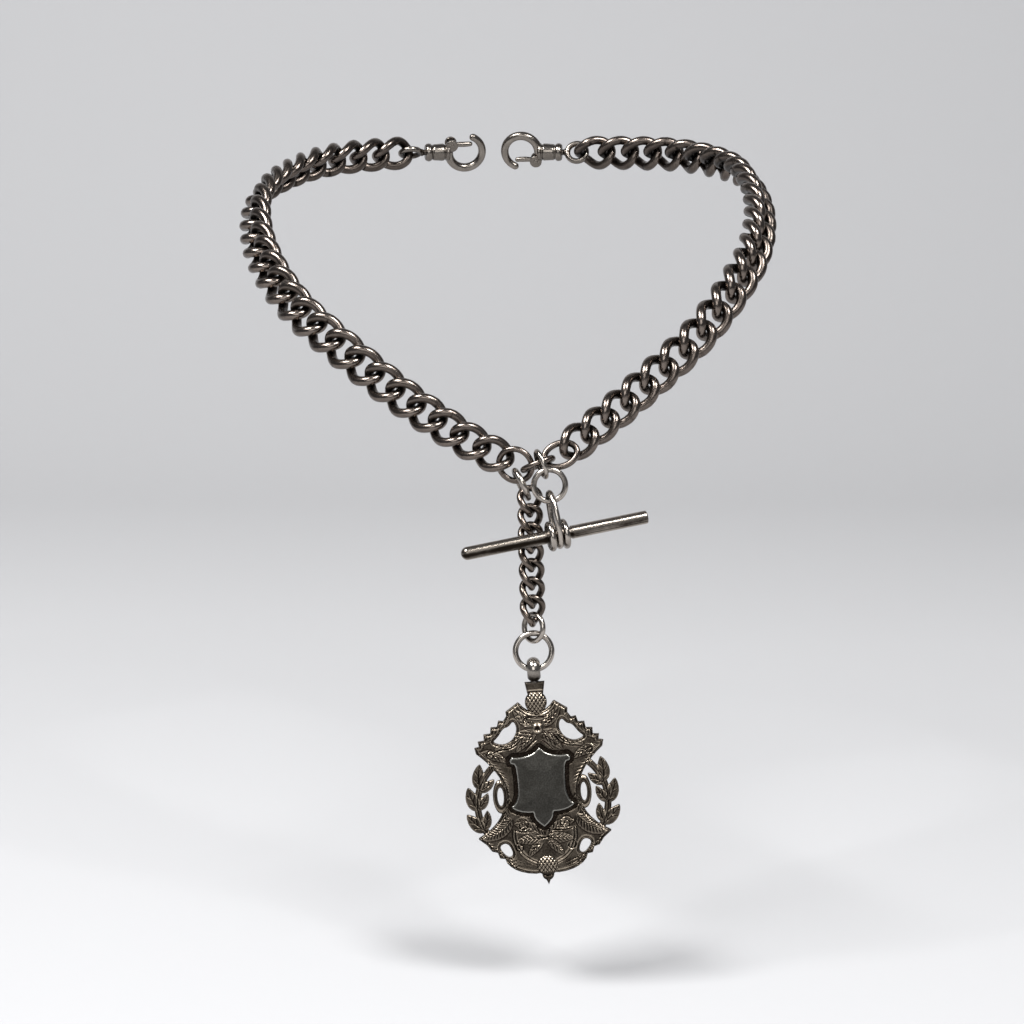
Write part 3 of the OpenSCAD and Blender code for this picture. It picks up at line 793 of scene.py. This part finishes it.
def pierced_plate(shell, axes, relief, back, front, edge=0.22):
    """Makes a relief into a closed plate: its grid cells are clipped to the outline and walled round."""
    inside = relief.outline < 0
    index = np.full(inside.shape, -1)
    index[inside] = np.arange(inside.sum())
    drop = np.clip(1 + relief.outline / edge, 0, 1)
    top = front + relief.height - edge * (1 - np.sqrt(1 - drop**2))
    points = [np.stack([relief.x[inside], relief.y[inside], top[inside]], -1)]
    dark = [relief.dark[inside]]
    whole = inside[:-1, :-1] & inside[1:, :-1] & inside[1:, 1:] & inside[:-1, 1:]
    i, j = np.nonzero(whole)
    faces = np.stack([index[i, j], index[i + 1, j], index[i + 1, j + 1], index[i, j + 1]], -1).tolist()

    crossings, extra, rim = {}, [], []
    some = inside[:-1, :-1] | inside[1:, :-1] | inside[1:, 1:] | inside[:-1, 1:]
    for ci, cj in zip(*np.nonzero(some & ~whole)):
        corners = [(ci, cj), (ci + 1, cj), (ci + 1, cj + 1), (ci, cj + 1)]
        loop, leaving, entering = [], [], []
        for a, b in zip(corners, corners[1:] + corners[:1]):
            if inside[a]:
                loop.append(index[a])
            if inside[a] != inside[b]:
                key = (min(a, b), max(a, b))
                if key not in crossings:
                    da, db = relief.outline[key[0]], relief.outline[key[1]]
                    u = min(max(da / (da - db), 0.02), 0.98)
                    p = [(1 - u) * g[key[0]] + u * g[key[1]] for g in (relief.x, relief.y)]
                    height = (1 - u) * relief.height[key[0]] + u * relief.height[key[1]]
                    crossings[key] = int(inside.sum()) + len(extra)
                    extra.append([*p, front + min(height, 0.1) - edge])
                loop.append(crossings[key])
                (leaving if inside[a] else entering).append(crossings[key])
        faces.append(loop)
        rim += list(zip(leaving, entering if len(entering) == 1 else entering[1:] + entering[:1]))
    points.append(np.array(extra))
    dark.append(np.full(len(extra), 0.35))
    points = np.concatenate(points)
    total = len(points)
    under = points.copy()
    under[:, 2] = back
    walls = [[a, a + total, b + total, b] for a, b in rim]
    faces += [[v + total for v in f[::-1]] for f in faces] + walls
    tarnish = np.concatenate(dark)
    tarnish = np.concatenate([tarnish, np.full(total, 0.55)])
    shell.add(place(np.concatenate([points, under]), axes), faces, tarnish)


def build_fob():
    relief = fob_relief()
    # A dark plate, lightened where burrs and rims carry rubbing and painted highlights
    relief.dark = np.clip(0.74 + 0.26 * relief.dark - 0.66 * relief.rub_and_highlight * (1 - relief.dark), 0, 1)
    shell = Shell()
    pierced_plate(shell, fob_axes(), relief, -FOB_HALF_T, FOB_HALF_T - 0.25)
    shell.make("fob_plate", ["fob_frame"], ENGRAVED, flat_angle=60)

    plain = Relief((-7.6, -10.2), (7.6, 8.2), GRID)
    plain.outline = polygon_distance(plain.x, plain.y, full_outline(SHIELD_HALF)) - 0.1
    plain.height = 0.14 * smooth_step(-plain.outline, 0, 4)
    plain.dark = 0.86 - 0.72 * np.exp(-(((plain.outline + 0.16) / 0.13) ** 2))
    shell = Shell()
    pierced_plate(shell, fob_axes(), plain, FOB_HALF_T - 0.3, FOB_HALF_T + 0.6, edge=0.34)
    shell.make("fob_plain_shield", ["fob_shield"], SHIELD, flat_angle=70)


BAIL_UP = 23.6
BAIL_R = 2.6
BAIL_BORE_R = 1.45


def build_bail():
    """A broad domed band, with a small block where it is soldered to the plate's neck."""
    origin, x, y, z = fob_axes()
    axes = (origin + BAIL_UP * y, x, y, z)
    turns = np.radians(np.linspace(155, 25, 17))
    dome = [(1.5 * math.cos(a), BAIL_R - 1.5 + 1.5 * math.sin(a)) for a in turns]
    profile = np.array([*dome, (0.9, BAIL_BORE_R + 0.04), (0, BAIL_BORE_R), (-0.9, BAIL_BORE_R + 0.04)])
    shell = Shell()
    # Darker on the inner bore; painted shade on the lower half of the band
    tarnish = 0.15 + 0.6 * smooth_step(-profile[:, 1], -2.0, -1.5)
    add_turned(shell, axes, profile, tarnish, ring=True)
    below = (axes[0] - shell.points[0]) @ y
    shell.tarnish[0] = shell.tarnish[0] + 0.5 * smooth_step(below, -1, 2)
    down = (origin + 20.9 * y, y, z, x)
    block = rounded([(-0.3, 0.02), (-0.3, 0.8), (0.35, 0.9), (0.6, 0.5), (0.6, 0.02)], 0.2)
    add_turned(shell, down, block, 0.7, sides=32)
    shell.make("fob_band_bail", ["fob_bail"], RING)


# ---- Swivel clasps ----

EYE_R, EYE_WIRE = 2.3, 1.4
BARREL_FROM, BARREL_TO, BARREL_R = 3.6, 9.6, 2.2
HOOK_R, HOOK_WIRE = 4.1, 2.1
HOOK_X = BARREL_TO - 0.2 + HOOK_R
HOOK_END = math.radians(-66)
GATE_HINGE = np.array([9.95, -2.05, 0])
GATE_L = 4.6


def swivel_axes(side):
    spin = JOINTS[side + "_swivel_spin"]
    x = unit(spin["axis"])
    z = unit(JOINTS[side + "_gate_swing"]["axis"])
    return np.array(spin["pos_m"]) / MM, x, np.cross(z, x), z


def add_sweep(shell, axes, centres, radii, tarnish=0.3, sides=24):
    """A round bar along a flat curve in the local XY plane, with a domed start and end."""
    centres = np.asarray(centres, float)
    along = np.gradient(centres, axis=0)
    along /= np.linalg.norm(along, axis=1, keepdims=True)
    side = np.stack([-along[:, 1], along[:, 0], 0 * along[:, 0]], -1)
    k = np.arange(sides) * 2 * np.pi / sides

    def cap(at, sign, turns):
        """Shrinking rings past one end of the bar."""
        tip, r = centres[at], radii[at]
        return [(tip + sign * along[at] * r * math.sin(a), r * math.cos(a), side[at]) for a in turns]

    turns = np.radians([80, 60, 40, 20])
    rings = cap(0, -1, turns) + list(zip(centres, radii, side)) + cap(-1, 1, turns[::-1])
    up = np.array([0, 0, 1.0])
    points = [c + r * (np.cos(k)[:, None] * s + np.sin(k)[:, None] * up) for c, r, s in rings]
    faces = tube_faces(len(rings), sides, False)
    last = (len(rings) - 1) * sides
    faces = [f[::-1] for f in faces] + [list(range(sides)), [last + i for i in range(sides)][::-1]]
    shell.add(place(np.concatenate(points), axes), faces, tarnish)


def build_swivel_eye(side):
    origin, x, y, z = swivel_axes(side)
    half = math.sqrt(0.5)
    axes = (origin, x, half * (y + z), half * (z - y))
    shell = Shell()
    size = 2 * EYE_R + EYE_WIRE
    add_link(shell, axes, size, size, EYE_WIRE, 0, 0.0)
    shank = [(2.7, 0.02), (2.7, 0.95), (3.05, 0.8), (3.3, 0.65), (7.2, 0.65)]
    shank += [(7.2, 1.2), (8.2, 1.2), (8.2, 0.02)]
    add_turned(shell, axes, rounded(shank, 0.12), 0.45, sides=32)
    shell.make(side + "_clasp_eye", [side + "_swivel_eye"], CLASP)


def build_swivel_body(side):
    """A turned barrel with beads, a hook that thins towards its tip, and two ears for the gate's pin."""
    axes = swivel_axes(side)
    origin, x, y, z = axes
    bore = [(BARREL_TO - 1.3, 0.02), (BARREL_TO - 1.3, 1.3), (7.0, 1.3), (7.0, 0.74), (BARREL_FROM, 0.74)]
    beads = [(BARREL_FROM, 1.75), (3.9, 2.05), (4.5, 2.2), (5.0, 2.05), (5.2, 1.8), (5.45, 1.75)]
    beads += [(5.7, 1.95), (8.0, 2.1)]
    end = [(8.3, 1.85), (8.5, 1.8), (8.75, 2.1), (9.2, 2.2), (9.55, 1.9), (9.6, 0.02)]
    shell = Shell()
    profile = rounded(bore + beads + end, 0.12)
    add_turned(shell, axes, profile, 0.25 + 0.35 * smooth_step(-profile[:, 1], -1.95, -1.7))
    turns = np.linspace(math.pi, HOOK_END, 56)
    centres = [(HOOK_X + HOOK_R * math.cos(a), HOOK_R * math.sin(a), 0) for a in turns]
    radii = HOOK_WIRE / 2 * (1 - 0.16 * smooth_step(-turns, -1.8, -HOOK_END))
    add_sweep(shell, axes, centres, radii, 0.25)
    ear = rounded([(0.82, 0.02), (0.82, 1.45), (1.5, 1.45), (1.5, 0.02)], 0.15)
    for sign in (-1, 1):
        ear_axes = (origin + place(GATE_HINGE, (0, x, y, z)), sign * z, x, sign * y)
        add_turned(shell, ear_axes, ear, 0.35, sides=40)
    shell.make(side + "_clasp_body", [side + "_swivel_body"], CLASP)


def build_gate(side):
    origin, x, y, z = swivel_axes(side)
    hinge = origin + place(GATE_HINGE, (0, x, y, z))
    shell = Shell()
    barrel = rounded([(-0.65, 0.47), (-0.65, 1.0), (0.65, 1.0), (0.65, 0.47)], 0.1)
    add_turned(shell, (hinge, z, x, y), barrel, 0.4, sides=40, ring=True)
    steps = np.linspace(0.9, GATE_L, 16)
    centres = [(s, 0.1 * math.sin(math.pi * s / GATE_L), 0) for s in steps]
    radii = 0.5 + 0.15 * np.sin(np.linspace(0.3, 2.6, 16))
    add_sweep(shell, (hinge, x, y, z), centres, radii, 0.25)
    shell.make(side + "_clasp_gate", [side + "_swivel_gate"], CLASP)

    shell = Shell()
    head = [(1.5, 0.4), (1.5, 0.55), (1.66, 0.5), (1.72, 0.02)]
    pin = [(-px, pr) for px, pr in head[::-1]] + head
    add_turned(shell, (hinge, z, x, y), rounded(pin, 0.05), 0.3, sides=24)
    shell.make(side + "_clasp_pin", [side + "_gate_pin"], CLASP)


def build_spring(side):
    """A thin flat leaf behind the gate's knuckle."""
    axes = swivel_axes(side)
    path = [(8.86 + 0.02 * math.sin(6 * u), -2.7 + 1.6 * u) for u in np.linspace(0, 1, 12)]
    half_t, half_w = 0.035, 0.5
    corners = [(-half_t, -half_w), (half_t, -half_w), (half_t, half_w), (-half_t, half_w)]
    points = [(px + dx, py, dz) for px, py in path for dx, dz in corners]
    last = 4 * (len(path) - 1)
    faces = tube_faces(len(path), 4, False) + [[3, 2, 1, 0], [last, last + 1, last + 2, last + 3]]
    shell = Shell()
    shell.add(place(np.array(points), axes), [f[::-1] for f in faces], 0.4)
    shell.make(side + "_clasp_spring", [side + "_gate_spring"], SPRING)


for side in ("left", "right"):
    build_arm(side)
    build_swivel_eye(side)
    build_swivel_body(side)
    build_gate(side)
    build_spring(side)
build_drop_links()
build_plain_rings()
build_bar()
build_collars()
build_fob()
build_bail()

# ---- Floor, light and camera. Metres from here on ----

FLOOR_Z = -0.135
SWEEP_Y, SWEEP_R = 0.42, 0.3


def build_stage():
    """A pale floor that curves up behind the chain."""
    turns = np.radians(np.arange(0, 91, 5))
    arc = [(SWEEP_Y + SWEEP_R * math.sin(a), FLOOR_Z + SWEEP_R * (1 - math.cos(a))) for a in turns]
    profile = [(-3.0, FLOOR_Z), *arc, (SWEEP_Y + SWEEP_R, 2.5)]
    points = [(px, py, pz) for py, pz in profile for px in (-3.0, 3.0)]
    faces = [(2 * i, 2 * i + 1, 2 * i + 3, 2 * i + 2) for i in range(len(profile) - 1)]
    mesh = bpy.data.meshes.new("backdrop")
    mesh.from_pydata(points, [], faces)
    mesh.polygons.foreach_set("use_smooth", [True] * len(mesh.polygons))
    paper = bpy.data.materials.new("pale_paper")
    paper.use_nodes = True
    shader = paper.node_tree.nodes["Principled BSDF"]
    shader.inputs["Base Color"].default_value = (0.43, 0.43, 0.437, 1)
    shader.inputs["Roughness"].default_value = 0.8
    mesh.materials.append(paper)
    backdrop = bpy.data.objects.new("backdrop", mesh)
    bpy.context.scene.collection.objects.link(backdrop)


def add_lamp(name, place_at, target, size, power):
    lamp = bpy.data.lights.new(name, "AREA")
    lamp.shape = "RECTANGLE"
    lamp.size, lamp.size_y = size
    lamp.energy = power
    holder = bpy.data.objects.new(name, lamp)
    holder.location = place_at
    holder.rotation_euler = (Vector(target) - Vector(place_at)).to_track_quat("-Z", "Y").to_euler()
    bpy.context.scene.collection.objects.link(holder)


def build_camera():
    lens = bpy.data.cameras.new("camera")
    lens.lens = 109.69
    lens.sensor_width = 36
    lens.clip_start, lens.clip_end = 0.01, 20
    camera = bpy.data.objects.new("camera", lens)
    camera.location = (0.00121, -0.69796, 0.09895)
    camera.rotation_euler = (math.radians(78), 0, 0)
    bpy.context.scene.collection.objects.link(camera)
    bpy.context.scene.camera = camera


build_stage()
add_lamp("overhead_left", (-0.45, -0.30, 0.75), (0, -0.03, -0.03), (0.42, 0.27), 13.8)
add_lamp("overhead_right", (0.35, -0.45, 0.7), (0, -0.03, -0.05), (0.27, 0.27), 8.4)
add_lamp("front_fill", (-0.1, -1.3, 0.5), (0, 0, -0.02), (0.9, 0.6), 4.4)
world = bpy.data.worlds.new("studio")
world.use_nodes = True
world.node_tree.nodes["Background"].inputs["Color"].default_value = (0.9, 0.93, 1.0, 1)
world.node_tree.nodes["Background"].inputs["Strength"].default_value = 0.16
bpy.context.scene.world = world
bpy.context.scene.view_settings.view_transform = "Standard"
build_camera()
